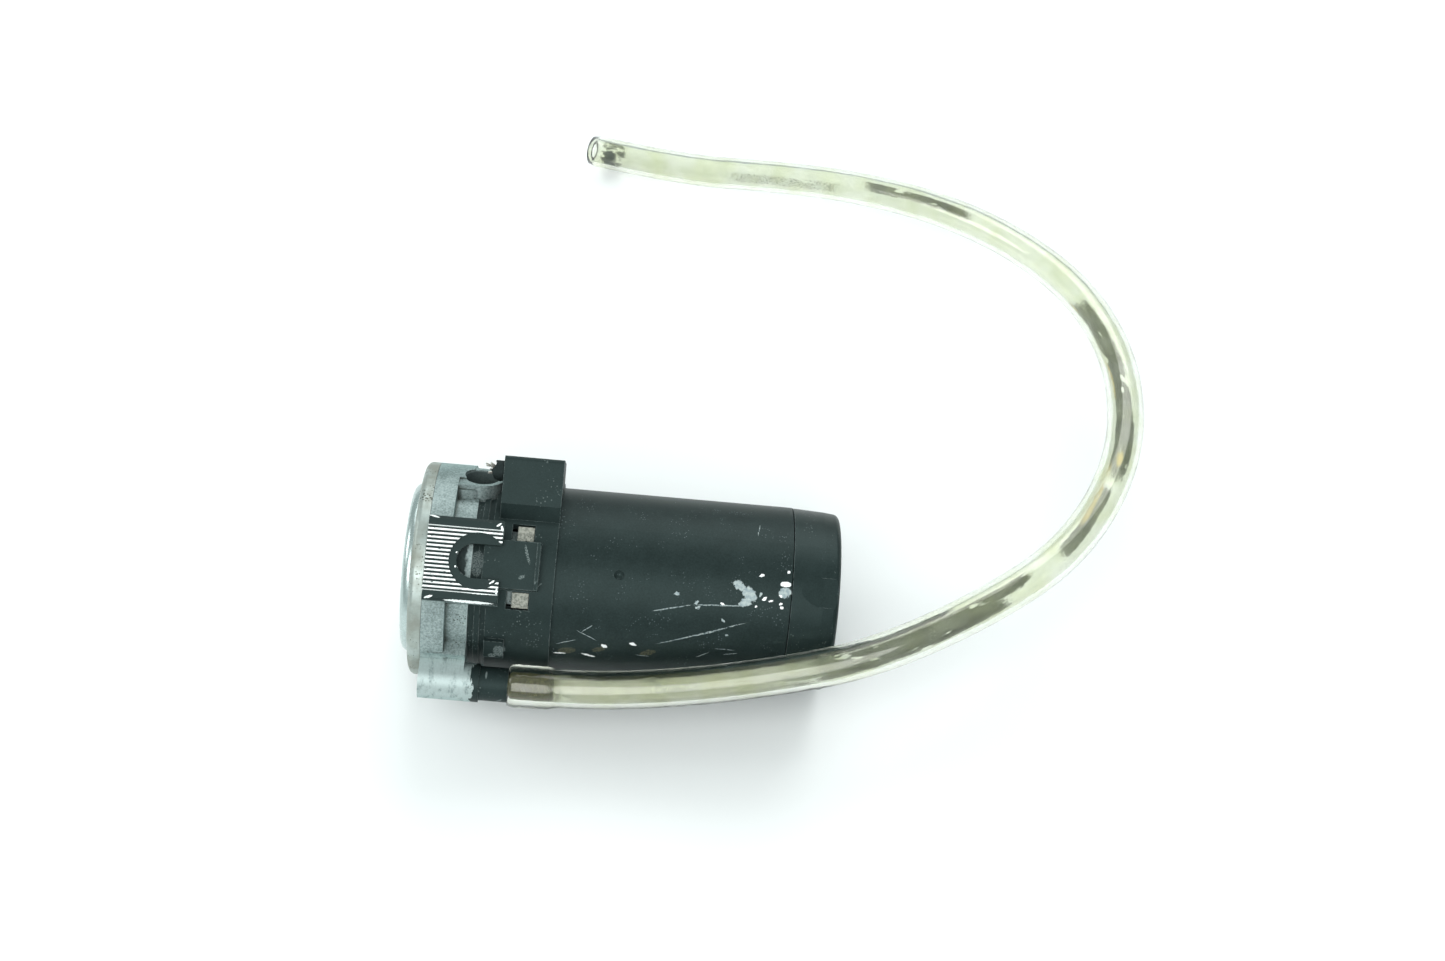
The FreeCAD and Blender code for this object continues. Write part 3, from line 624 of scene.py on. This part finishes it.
innerFinishes = [  # name, nodes, light colour, dark colour, metallic, roughness, grain scale, stretch
    ("groundSteel", ("wear_plate", "drive_pin", "motor_shaft", "thrust_washers", "magnet_clips",
                     "brush_spring_1", "brush_spring_2"),
     (0.62, 0.63, 0.63, 1), (0.42, 0.43, 0.43, 1), 1.0, 0.28, 900.0, (8, 1, 8)),
    ("zincScrews", ("terminal_blades", "through_bolts"),
     (0.74, 0.75, 0.70, 1), (0.52, 0.52, 0.46, 1), 1.0, 0.33, 1600.0, (1, 1, 1)),
    ("sinteredIron", ("pump_rotor", "armature_core"),
     (0.34, 0.33, 0.32, 1), (0.20, 0.19, 0.18, 1), 0.9, 0.5, 2400.0, (1, 1, 1)),
    ("pressedCarbon", ("vane_1", "vane_2", "vane_3", "vane_4", "brush_1", "brush_2"),
     (0.075, 0.075, 0.078, 1), (0.030, 0.030, 0.032, 1), 0.2, 0.45, 3200.0, (1, 1, 1)),
    ("felt", ("inlet_filter",), (0.20, 0.20, 0.17, 1), (0.09, 0.09, 0.075, 1), 0.0, 0.95, 1400.0, (1, 1, 1)),
    ("fibreGasket", ("cover_gasket",),
     (0.50, 0.42, 0.30, 1), (0.36, 0.29, 0.20, 1), 0.0, 0.85, 1300.0, (1, 1, 1)),
    ("sealRubber", ("shaft_seal",),
     (0.040, 0.040, 0.042, 1), (0.022, 0.022, 0.024, 1), 0.0, 0.6, 1800.0, (1, 1, 1)),
    ("magnetFerrite", ("magnet_1", "magnet_2"),
     (0.13, 0.13, 0.14, 1), (0.07, 0.07, 0.075, 1), 0.1, 0.55, 1500.0, (1, 1, 1)),
    ("windingCopper", ("armature_winding", "commutator"),
     (0.78, 0.44, 0.25, 1), (0.52, 0.25, 0.12, 1), 1.0, 0.34, 700.0, (0.4, 3, 3)),
    ("oiledBronze", ("front_bearing", "rear_bearing", "brush_holder_1", "brush_holder_2"),
     (0.66, 0.50, 0.27, 1), (0.42, 0.30, 0.15, 1), 1.0, 0.4, 1900.0, (1, 1, 1)),
    ("brownLaminate", ("brush_plate",),
     (0.34, 0.19, 0.09, 1), (0.20, 0.10, 0.045, 1), 0.0, 0.5, 500.0, (1, 4, 1)),
]


def innerMaterial(name, light, dark, metallic, roughness, scale, stretch):
    material, tree, shader = newMaterial(name)
    fine = use(tree, grain, {"Scale": scale, "Stretch": stretch})
    worn = use(tree, edgeWear, {"Width": 0.00025, "Amount": 0.55})["Mask"]
    colour = mixed(tree, fine["Shade"], dark, light)
    rubbed = [min(1.0, c * 1.5) for c in light[:3]] + [1]
    colour = mixed(tree, calc(tree, "MULTIPLY", worn, 0.35), colour, rubbed)
    tree.links.new(colour, shader.inputs["Base Color"])
    shader.inputs["Metallic"].default_value = metallic
    tree.links.new(calc(tree, "ADD", roughness - 0.08, calc(tree, "MULTIPLY", fine["Height"], 0.16)),
                   shader.inputs["Roughness"])
    bump(tree, shader, fine["Height"], 0.3, 0.00008)
    return material


dress(castAluminium(), "pump_housing")
dress(zincCover(), "front_cover")
dress(blackPlastic("collarPlastic", collarPlastic["scrapes"]), "collar")
dress(blackPlastic("capPlastic", sheen=0.30), "end_cap")
dress(blackPlastic("nipplePlastic", collarPlastic["nippleScrapes"]), "outlet_nipple")
dress(canPaint(), "motor_can")
for name, members, light, dark, metallic, roughness, scale, stretch in innerFinishes:
    dress(innerMaterial(name, light, dark, metallic, roughness, scale, stretch), *members)
print("finishes on the CAD nodes")


hose = {
    "route": [
        (-0.03005, -0.02976, 0.02775), (-0.01213, -0.02976, 0.02610), (0.0140, -0.0300, 0.0287),
        (0.0435, -0.0290, 0.0347), (0.0720, -0.0250, 0.0397), (0.1040, -0.0096, 0.0435),
        (0.1310, 0.0110, 0.0460), (0.1480, 0.0435, 0.0466), (0.1515, 0.0790, 0.0450),
        (0.1440, 0.1130, 0.0405), (0.1270, 0.1415, 0.0352), (0.1015, 0.1665, 0.0286),
        (0.0715, 0.1845, 0.0215), (0.0405, 0.1960, 0.0149), (0.0060, 0.2040, 0.0094),
        (-0.0260, 0.2165, 0.0061),
    ],
    "length": 0.488,
    "outer": 0.0055,
    "bore": 0.0040,
    "cuff": 0.0062,
    "cuffLength": 0.012,
    "barbs": (0.0024, 0.0052, 0.0080),
    "sides": 48,
    "film": (0.003985, 0.003955),  # outer and inner radius of the dirt on the bore
    "pvc": (0.945, 0.962, 0.90, 1),
    "pvcAged": (0.88, 0.905, 0.76, 1),
    "lampsPass": 0.85,
}


def hosePath():
    curve = bpy.data.curves.new("hoseRoute", "CURVE")
    curve.dimensions = "3D"
    curve.resolution_u = 26
    spline = curve.splines.new("NURBS")
    spline.points.add(len(hose["route"]) - 1)
    for point, place in zip(spline.points, hose["route"]):
        point.co = (*place, 1)
    spline.use_endpoint_u = True
    spline.order_u = 3
    holder = bpy.data.objects.new("hoseRoute", curve)
    line = bpy.data.meshes.new_from_object(holder)
    points = [vertex.co.copy() for vertex in line.vertices]
    bpy.data.objects.remove(holder)
    return points


def ringFrames(points):  # a frame at each point that never twists
    ways = []
    for k in range(len(points)):
        before, after = points[max(0, k - 1)], points[min(len(points) - 1, k + 1)]
        ways.append((after - before).normalized())
    side = ways[0].cross(Vector((0, 0, 1))).normalized()
    frames = []
    for way in ways:
        side = (side - way * side.dot(way)).normalized()
        frames.append((side, way.cross(side)))
    return frames


def runs(points):  # distance from the nipple, in metres
    total, result = 0.0, [0.0]
    for a, b in zip(points, points[1:]):
        total += (b - a).length
        result.append(total)
    return result


def makeTube(name, points, walls):  # walls: radius at a run, outer then inner, one closed shell
    frames, run = ringFrames(points), runs(points)
    mesh = bpy.data.meshes.new(name)
    tube = bmesh.new()
    runLayer = tube.verts.layers.float.new("run")
    ringLayer = tube.verts.layers.float_vector.new("ring")
    loops = []
    order = list(range(len(points)))
    for wall, sequence in zip(walls, (order, order[::-1])):
        for k in sequence:
            side, up = frames[k]
            radius = wall(run[k], run[-1])
            loop = []
            for n in range(hose["sides"]):
                a = 2 * math.pi * n / hose["sides"]
                vertex = tube.verts.new(points[k] + side * radius * math.cos(a) + up * radius * math.sin(a))
                vertex[runLayer] = run[k] * 1000
                vertex[ringLayer] = (math.cos(a), math.sin(a), 0)
                loop.append(vertex)
            loops.append(loop)
    for first, second in zip(loops, loops[1:] + loops[:1]):
        for n in range(hose["sides"]):
            m = (n + 1) % hose["sides"]
            tube.faces.new((first[n], first[m], second[m], second[n]))
    bmesh.ops.recalc_face_normals(tube, faces=tube.faces)
    for face in tube.faces:
        face.smooth = True
    tube.to_mesh(mesh)
    tube.free()
    piece = bpy.data.objects.new(name, mesh)
    bpy.context.collection.objects.link(piece)
    return piece


def ease(value, start, full):
    t = min(1.0, max(0.0, (value - start) / (full - start)))
    return t * t * (3 - 2 * t)


def hoseOuter(run, total):  # stretched over the barbs, then easing down; both cut ends just rounded
    radius = hose["outer"]
    swell = 1 - ease(run, hose["cuffLength"] - 0.001, hose["cuffLength"] + 0.0025)
    radius += (hose["cuff"] - hose["outer"] - 0.0001) * swell
    for barb in hose["barbs"]:
        radius += 0.00010 * math.exp(-((run - barb) / 0.0008) ** 2)
    nearEnd = min(run, total - run)
    return radius - 0.00035 * (1 - ease(nearEnd, 0, 0.0008))


def hoseBore(run, total):
    return hose["bore"] + 0.00025 * (1 - ease(total - run, 0, 0.0008))


def runPlace(tree):  # along the hose in mm, and a place on its skin that runs on without a seam
    run = put(tree, "Attribute", attribute_name="run").outputs["Fac"]
    ring = put(tree, "Attribute", attribute_name="ring").outputs["Vector"]
    split = put(tree, "SeparateXYZ", {"Vector": ring})
    skin = put(tree, "CombineXYZ", {"X": run, "Y": calc(tree, "MULTIPLY", split.outputs["X"], 4.0),
                                    "Z": calc(tree, "MULTIPLY", split.outputs["Y"], 4.0)})
    return run, skin.outputs["Vector"], split.outputs


def clearPvc():
    material, tree, shader = newMaterial("clearPvc")
    _, skin, _ = runPlace(tree)
    waves = noise(tree, vecCalc(tree, "MULTIPLY", skin, (0.25, 1, 1)), 0.35, 2.0)
    cloud = noise(tree, skin, 0.12, 3.0)
    tint = mixed(tree, step(tree, cloud, 0.35, 0.7), hose["pvc"], hose["pvcAged"])
    tree.links.new(tint, shader.inputs["Base Color"])
    shader.inputs["Transmission Weight"].default_value = 1.0
    shader.inputs["IOR"].default_value = 1.46
    tree.links.new(calc(tree, "ADD", 0.03, calc(tree, "MULTIPLY", cloud, 0.10)), shader.inputs["Roughness"])
    lamps = put(tree, "LightPath").outputs["Is Shadow Ray"]
    tree.links.new(calc(tree, "SUBTRACT", 1.0, calc(tree, "MULTIPLY", lamps, hose["lampsPass"])),
                   shader.inputs["Alpha"])
    bump(tree, shader, waves, 0.35, 0.0003)
    return material


boreDirt = {
    "haze": (0.56, 0.59, 0.46, 1),
    # milky film colour, darker as painted shade of the dark can seen through the hose
    "milkAndShade": (0.42, 0.43, 0.33, 1),
    "amber": (0.58, 0.42, 0.06, 1),
    "grimeAndShade": (0.020, 0.025, 0.010, 1),
    "brown": (0.016, 0.014, 0.005, 1),
    "cuffPale": (0.072, 0.070, 0.022, 1),
    "sootAndShade": (0.030, 0.040, 0.034, 1),
    "sootRun": (475.5, 483.4),
    "deposits": [  # run from, run to, middle angle round the bore (90 is the bottom), half angle, density
        (14, 134, 218, 44, 0.78), (30, 92, 50, 24, 0.42), (84, 152, 112, 58, 0.66),
        (128, 162, 140, 22, 1.00), (168, 204, 118, 30, 1.00), (200, 290, 96, 48, 0.56),
        (205, 232, 60, 18, 0.80), (338, 388, 14, 26, 0.66), (388, 440, 60, 30, 0.28),
    ],
    "amberMarks": [(207, 219, 98, 14, 0.9), (277, 290, 142, 12, 0.9), (232, 262, 150, 20, 0.35),
                   (178, 215, 150, 26, 0.30)],
}


def bands(tree, run, split, wobble, marks):  # patches given by a run and an angle round the bore
    mask = 0.0
    for start, end, middle, half, density in marks:
        a = math.radians(middle)
        facing = calc(tree, "ADD", calc(tree, "MULTIPLY", split["X"], math.cos(a)),
                      calc(tree, "MULTIPLY", split["Y"], math.sin(a)))
        angle = calc(tree, "DEGREES", calc(tree, "ARCCOSINE", calc(tree, "MINIMUM", facing, 1.0)))
        angle = calc(tree, "ADD", angle, calc(tree, "MULTIPLY", wobble, 14.0))
        patch = allOf(tree, step(tree, angle, half + 12, half - 10), step(tree, run, start, start + 9),
                      step(tree, run, end, end - 9))
        mask = calc(tree, "MAXIMUM", mask, calc(tree, "MULTIPLY", density, patch))
    return mask


def boreFilm():
    look = boreDirt
    material, tree, shader = newMaterial("boreFilm")
    run, skin, ring = runPlace(tree)
    cloud = noise(tree, vecCalc(tree, "MULTIPLY", skin, (0.4, 1, 1)), 0.22, 4.0, 0.6)
    wobble = calc(tree, "SUBTRACT", noise(tree, skin, 0.9, 4.0, 0.7), 0.5)
    speckle = noise(tree, skin, 2.6, 3.0, 0.8)
    deposit = bands(tree, run, ring, wobble, look["deposits"])
    wet = step(tree, noise(tree, vecCalc(tree, "MULTIPLY", skin, (0.12, 0.5, 0.5)), 0.8, 2.0), 0.66, 0.60)
    thick = calc(tree, "ADD", speckle, calc(tree, "MULTIPLY", deposit, 0.58))
    dots = allOf(tree, step(tree, thick, 0.62, 0.82), wet)
    stainAndShade = bands(tree, run, ring, wobble, look["amberMarks"])
    # milky film in the first 110 mm beside the can; its darker colour is painted shade of the can seen
    # through
    milkyAndShaded = allOf(tree, step(tree, run, 110.0, 60.0), step(tree, cloud, 0.30, 0.62))
    haze = calc(tree, "ADD", 0.05, calc(tree, "MULTIPLY", step(tree, cloud, 0.3, 0.75), 0.09))
    haze = anyOf(tree, haze, calc(tree, "MULTIPLY", milkyAndShaded, 0.42))
    cuff = step(tree, run, 16.5, 11.0)
    clearRing = allOf(tree, step(tree, run, 11.9, 12.3), step(tree, run, 13.2, 12.9))
    blotches = noise(tree, vecCalc(tree, "MULTIPLY", skin, (1, 0.7, 0.7)), 1.3, 5.0, 0.75)
    mottled = step(tree, blotches, 0.42, 0.62)
    covered = calc(tree, "ADD", 0.78, calc(tree, "MULTIPLY", mottled, 0.20))
    cuffCover = allOf(tree, cuff, flipped(tree, clearRing), covered, step(tree, run, 0.4, 1.1))
    sootStart, sootEnd = look["sootRun"]
    sootAndShade = allOf(tree, step(tree, run, sootStart, sootStart + 2.0), step(tree, run, sootEnd, sootEnd - 1.8),
                 step(tree, cloud, 0.40, 0.52))
    alpha = anyOf(tree, haze, calc(tree, "MULTIPLY", dots, 0.95), cuffCover,
                  calc(tree, "MULTIPLY", stainAndShade, 0.55), calc(tree, "MULTIPLY", sootAndShade, 0.8))
    colour = mixed(tree, milkyAndShaded, look["haze"], look["milkAndShade"])
    colour = mixed(tree, step(tree, dots, 0.1, 0.3), colour, look["grimeAndShade"])
    colour = mixed(tree, step(tree, stainAndShade, 0.1, 0.4), colour, look["amber"])
    colour = mixed(tree, cuff, colour, mixed(tree, mottled, look["cuffPale"], look["brown"]))
    colour = mixed(tree, sootAndShade, colour, look["sootAndShade"])
    tree.links.new(colour, shader.inputs["Base Color"])
    tree.links.new(alpha, shader.inputs["Alpha"])
    shader.inputs["Roughness"].default_value = 0.6
    return material


def makeHose():
    points = hosePath()
    piece = makeTube("clear_hose", points, (hoseOuter, hoseBore))
    piece.data.materials.append(clearPvc())
    outer, inner = hose["film"]
    inside = [p for p, run in zip(points, runs(points)) if run < hose["length"] - 0.0015]
    film = makeTube("hose_dirt", inside, (lambda run, total: outer, lambda run, total: inner))
    film.data.materials.append(boreFilm())
    for part in (piece, film):
        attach(part, "compressor_body")
    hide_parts("hose")
    print("hose:", len(points), "rings,", round(runs(points)[-1] * 1000, 1), "mm")


makeHose()


tornLead = {
    "reach": 28.9,
    "turn": 145.0,
    "side": -22.5,
    "boxFace": 26.1,
    "radius": 0.0022,
    "wall": 0.0008,
    "length": 0.0038,
    "rings": 6,
    "strands": 14,
    "strandRadius": 0.00026,
    "strandLength": 0.0044,
    "lift": 0.25,
    "seed": 7,
    "rubber": (0.006, 0.008, 0.008, 1),
    "rubberPale": (0.016, 0.022, 0.022, 1),
    "chalk": (0.3, 0.33, 0.33, 1),
    "wireDark": (0.55, 0.50, 0.42, 1),
    "wireBright": (0.86, 0.88, 0.86, 1),
}


def clearSelection():
    if bpy.context.object and bpy.context.object.mode != "OBJECT":
        bpy.ops.object.mode_set(mode="OBJECT")
    bpy.ops.object.select_all(action="DESELECT")


def applyPlace(piece):
    clearSelection()
    piece.select_set(True)
    bpy.context.view_layer.objects.active = piece
    bpy.ops.object.transform_apply(location=True, rotation=True, scale=True)


def rubberAndStrands():
    look = tornLead
    rubber, tree, shader = newMaterial("tornRubber")
    fine = use(tree, grain, {"Scale": 2200.0})
    chalk = use(tree, edgeWear, {"Width": 0.0003, "Amount": 0.6})["Mask"]
    colour = mixed(tree, fine["Shade"], look["rubber"], look["rubberPale"])
    tree.links.new(mixed(tree, calc(tree, "MULTIPLY", chalk, 0.6), colour, look["chalk"]),
                   shader.inputs["Base Color"])
    rough = calc(tree, "ADD", 0.45, calc(tree, "MULTIPLY", fine["Height"], 0.3))
    tree.links.new(rough, shader.inputs["Roughness"])
    shader.inputs["Specular IOR Level"].default_value = 0.2
    shader.inputs["Specular Tint"].default_value = coolSheen
    bump(tree, shader, fine["Height"], 0.8, 0.00025)
    wire, tree, shader = newMaterial("tinnedStrands")
    fine = use(tree, grain, {"Scale": 3000.0})
    tree.links.new(mixed(tree, fine["Shade"], look["wireDark"], look["wireBright"]),
                   shader.inputs["Base Color"])
    rough = calc(tree, "ADD", 0.2, calc(tree, "MULTIPLY", fine["Height"], 0.2))
    tree.links.new(rough, shader.inputs["Roughness"])
    shader.inputs["Metallic"].default_value = 0.8
    return rubber, wire


def makeTornLead():
    look = tornLead
    chance = random.Random(look["seed"])
    foot = atShaft(look["boxFace"] + 0.2, look["reach"], look["turn"], look["side"])
    upright = (-along).to_track_quat("Z", "Y").to_euler()
    rubber, wire = rubberAndStrands()
    clearSelection()
    bpy.ops.mesh.primitive_circle_add(vertices=40, radius=look["radius"], location=foot, rotation=upright)
    sleeve = bpy.context.object
    sleeve.name = "torn_lead"
    bpy.ops.object.mode_set(mode="EDIT")
    bpy.ops.mesh.select_all(action="SELECT")
    for _ in range(look["rings"]):
        bpy.ops.mesh.extrude_region_move(
            TRANSFORM_OT_translate={"value": (-along) * (look["length"] / look["rings"])})
    bpy.ops.object.mode_set(mode="OBJECT")
    for vertex in sleeve.data.vertices:
        height = vertex.co.z / look["length"]
        angle = math.atan2(vertex.co.y, vertex.co.x)
        tear = 0.55 + 0.30 * math.sin(angle + 0.6) + 0.14 * math.sin(3 * angle) + chance.uniform(-0.09, 0.09)
        vertex.co.z = look["length"] * height * (tear if height > 0.3 else 1 - (1 - tear) * height)
        spread = 1 + (0.10 * math.sin(4 * angle) + chance.uniform(-0.05, 0.05)) * height
        vertex.co.x *= spread
        vertex.co.y *= spread
    wall = sleeve.modifiers.new("wall", "SOLIDIFY")
    wall.thickness = look["wall"]
    wall.offset = -1
    soft = sleeve.modifiers.new("soft", "SUBSURF")
    soft.levels = soft.render_levels = 1
    for name in ("wall", "soft"):
        bpy.ops.object.modifier_apply(modifier=name)
    sleeve.data.materials.append(rubber)
    bpy.ops.object.shade_smooth()
    applyPlace(sleeve)
    strands = [makeStrand(chance, foot, upright, wire) for _ in range(look["strands"])]
    clearSelection()
    for strand in strands:
        strand.select_set(True)
    sleeve.select_set(True)
    bpy.context.view_layer.objects.active = sleeve
    bpy.ops.object.join()
    bpy.ops.object.mode_set(mode="EDIT")
    bpy.ops.mesh.select_all(action="SELECT")
    bpy.ops.mesh.normals_make_consistent(inside=False)
    bpy.ops.object.mode_set(mode="OBJECT")
    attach(sleeve, "compressor_body")
    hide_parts("lead_stub")
    print("torn lead:", len(sleeve.data.polygons), "faces")


def makeStrand(chance, foot, upright, wire):  # one bent wire with a snapped tip
    look = tornLead
    inside = look["radius"] - look["wall"] - look["strandRadius"]
    angle, out = chance.uniform(0, 2 * math.pi), inside * math.sqrt(chance.random()) * 0.9
    clearSelection()
    bpy.ops.mesh.primitive_circle_add(vertices=7, radius=look["strandRadius"], fill_type="NGON",
                                      location=foot, rotation=upright)
    strand = bpy.context.object
    bpy.ops.object.mode_set(mode="EDIT")
    bpy.ops.mesh.select_all(action="SELECT")
    reach = look["strandLength"] * chance.uniform(0.7, 1.25)
    for _ in range(4):
        bpy.ops.mesh.extrude_region_move(TRANSFORM_OT_translate={"value": (-along) * (reach / 4)})
    bpy.ops.object.mode_set(mode="OBJECT")
    leanX, leanY = chance.uniform(-0.35, 0.35), chance.uniform(-0.35, 0.35)
    for vertex in strand.data.vertices:
        height = vertex.co.z / reach
        vertex.co.x += out * math.cos(angle) + leanX * reach * height ** 2
        vertex.co.y += out * math.sin(angle) + (leanY + look["lift"]) * reach * height ** 2
        if height > 0.9:
            vertex.co.z += chance.uniform(-0.2, 0.2) * look["strandRadius"]
    strand.data.materials.append(wire)
    applyPlace(strand)
    return strand


makeTornLead()


def makeFloor():
    bpy.ops.object.select_all(action="DESELECT")
    bpy.ops.mesh.primitive_plane_add(size=8, location=(0, 0, 0))
    floor = bpy.context.object
    floor.name = "studioFloor"
    material, _, shader = newMaterial("paleFloor")
    shader.inputs["Base Color"].default_value = view["floorColour"]
    shader.inputs["Roughness"].default_value = 0.7
    floor.data.materials.append(material)


makeFloor()
